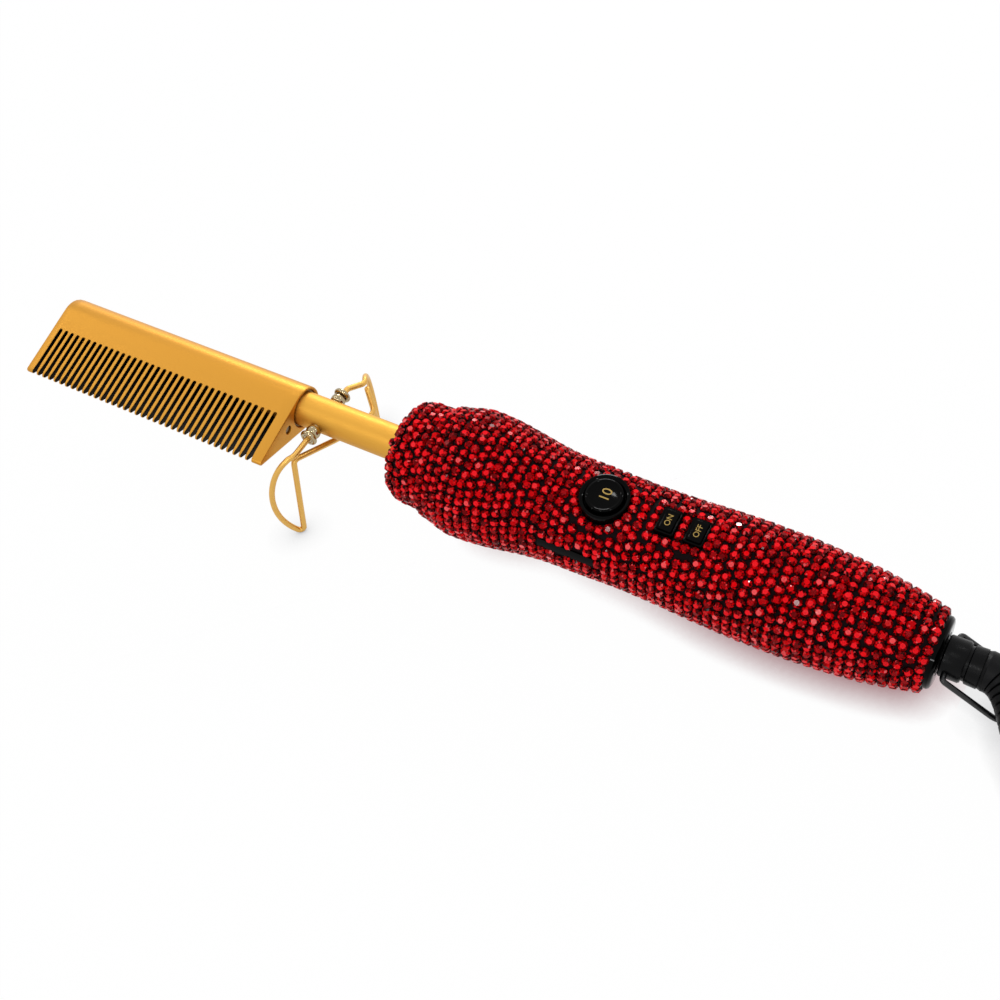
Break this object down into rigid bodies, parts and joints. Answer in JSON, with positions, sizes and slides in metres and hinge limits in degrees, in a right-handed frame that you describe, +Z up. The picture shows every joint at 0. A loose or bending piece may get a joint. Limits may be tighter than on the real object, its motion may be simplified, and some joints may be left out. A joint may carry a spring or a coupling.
{
  "type": "hot comb",
  "caption": "Electric hot comb with a gold comb head on a barrel, fold-out wire stand, crystal-covered handle, heat dial, ON and OFF buttons, swivel cord and plug.",
  "frame": {"origin": "middle of the base of the tool without its cord, as it rests on the table on the stand's feet and the underside of the handle", "axes": "+X from the comb's front end to the cord end, +Y from the teeth side to the spine side, +Z up"},
  "size_m": [0.4079, 0.0805, 0.0462],
  "materials": {
    "gold_satin": "satin anodised gold",
    "bright_steel": "polished",
    "steel": "brushed",
    "ruby_crystal": "faceted, foil backed",
    "red_shell": "glossy",
    "black_gloss": "glossy",
    "black_matte": "satin",
    "black_rubber": "soft matt",
    "ceramic": "matt",
    "mica": "matt",
    "board_green": "satin",
    "white_insulation": "satin",
    "yellow_insulation": "satin",
    "brown_resin": "matt",
    "brass": "bright"
  },
  "bodies": {
    "tool": {"comb_head": "gold_satin", "head_screw": "bright_steel", "heater_core": "ceramic", "heat_spreader": "steel", "mica_sleeve": "mica", "thermistor": "brown_resin", "thermal_fuse": "ceramic", "heater_leads": "white_insulation", "sensor_leads": "yellow_insulation", "barrel_tube": "gold_satin", "barrel_bush": "brown_resin", "pivot_bosses": "bright_steel", "nozzle_collar": "red_shell", "collar_crystals": "ruby_crystal", "handle_upper": "red_shell", "handle_lower": "red_shell", "upper_crystals": "ruby_crystal", "lower_crystals": "ruby_crystal", "shell_screws": "steel", "side_vents": "black_gloss", "dial_bezel": "black_gloss", "dial_pot": "black_matte", "on_frame": "black_gloss", "off_frame": "black_gloss", "tact_switches": "steel", "main_board": "board_green", "board_screws": "steel", "triac": "black_matte", "heat_sink": "steel", "capacitor": "brown_resin", "control_chip": "black_matte", "mains_leads": "white_insulation", "contact_brushes": "brass", "swivel_socket": "black_matte", "end_ring": "black_gloss"},
    "stand": {"stand_wire": "gold_satin", "pivot_rings": "bright_steel"},
    "dial": {"dial_knob": "black_gloss"},
    "on_button": {"on_button": "black_gloss", "on_plunger": "black_matte"},
    "off_button": {"off_button": "black_gloss", "off_plunger": "black_matte"},
    "cord_swivel": {"swivel_neck": "black_gloss", "swivel_sleeve": "black_gloss", "slip_rings": "brass", "swivel_clip": "steel", "strain_boot": "black_rubber", "cord_tube": "black_rubber", "cord_coil": "black_rubber", "cord_tie": "black_matte", "plug_body": "black_matte", "plug_pins": "brass"},
    "hang_loop": {"hang_loop": "black_matte"}
  },
  "joints": [
    {"name": "stand_fold", "type": "hinge", "parent": "tool", "child": "stand", "pos_m": [-0.05707, 0, 0.03044], "axis": [0, 1, 0], "range_deg": [-5, 40]},
    {"name": "dial_turn", "type": "hinge", "parent": "tool", "child": "dial", "pos_m": [0.03835, 0, 0.02194], "axis": [0.088, -0.1305, 0.9875], "range_deg": [-270, 0]},
    {"name": "on_press", "type": "slide", "parent": "tool", "child": "on_button", "axis": [-0.088, 0.1305, -0.9875], "range_m": [0, 0.0005], "stiffness_N_per_m": 400},
    {"name": "off_press", "type": "slide", "parent": "tool", "child": "off_button", "axis": [-0.088, 0.1305, -0.9875], "range_m": [0, 0.0005], "stiffness_N_per_m": 400},
    {"name": "cord_turn", "type": "hinge", "parent": "tool", "child": "cord_swivel", "pos_m": [0.13178, 0, 0.01361], "axis": [0.9961, 0, -0.0888], "continuous": true},
    {"name": "hang_loop_swing", "type": "hinge", "parent": "cord_swivel", "child": "hang_loop", "pos_m": [0.13577, 0, 0.01326], "axis": [0, 1, 0], "range_deg": [-3, 60]}
  ]
}
